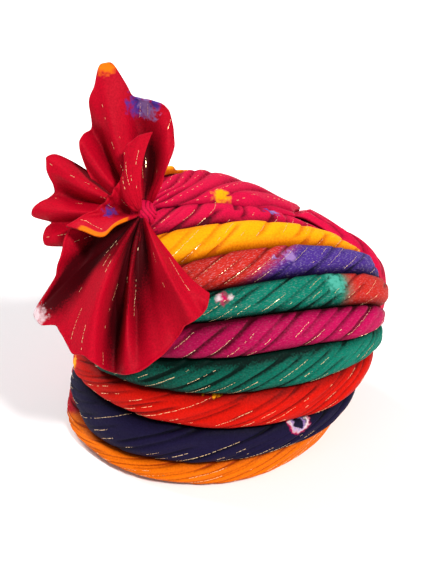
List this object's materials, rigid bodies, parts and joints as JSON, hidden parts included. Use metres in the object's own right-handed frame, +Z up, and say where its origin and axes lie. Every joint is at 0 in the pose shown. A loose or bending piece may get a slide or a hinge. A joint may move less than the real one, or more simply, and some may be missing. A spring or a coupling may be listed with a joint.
{
  "type": "tied turban",
  "caption": "Tied cloth turban of twisted coloured rolls wound aslant round an open crown, with a pleated fan spreading from a knot.",
  "frame": {"origin": "centre of the whole object's bounding box in X and Y, at the table plane the rim rests on", "axes": "+Z up, -Y towards the front that is seen with the fan at the left, +X to the viewer's right"},
  "size_m": [0.2698, 0.2476, 0.298],
  "materials": {
    "crown": "woven crepe",
    "rim_roll": "woven crepe",
    "navy_roll": "woven crepe",
    "vermilion_roll": "woven crepe",
    "lower_green_roll": "woven crepe",
    "magenta_roll": "woven crepe",
    "upper_green_roll": "woven crepe",
    "violet_roll": "woven crepe",
    "yellow_roll": "woven crepe",
    "crimson_roll": "woven crepe",
    "top_wrap": "woven crepe",
    "back_wrap": "woven crepe",
    "far_yellow_roll": "woven crepe",
    "knot": "woven crepe",
    "lower_fan": "woven crepe",
    "left_lobes": "woven crepe",
    "upper_plume": "woven crepe",
    "inner_petal": "woven crepe"
  },
  "bodies": {
    "root": {"crown": "crown", "rim_roll": "rim_roll", "navy_roll": "navy_roll", "vermilion_roll": "vermilion_roll", "lower_green_roll": "lower_green_roll", "magenta_roll": "magenta_roll", "upper_green_roll": "upper_green_roll", "violet_roll": "violet_roll", "yellow_roll": "yellow_roll", "crimson_roll": "crimson_roll", "top_wrap": "top_wrap", "back_wrap": "back_wrap", "far_yellow_roll": "far_yellow_roll", "knot": "knot", "lower_fan": "lower_fan", "left_lobes": "left_lobes", "upper_plume": "upper_plume", "inner_petal": "inner_petal"}
  },
  "joints": []
}
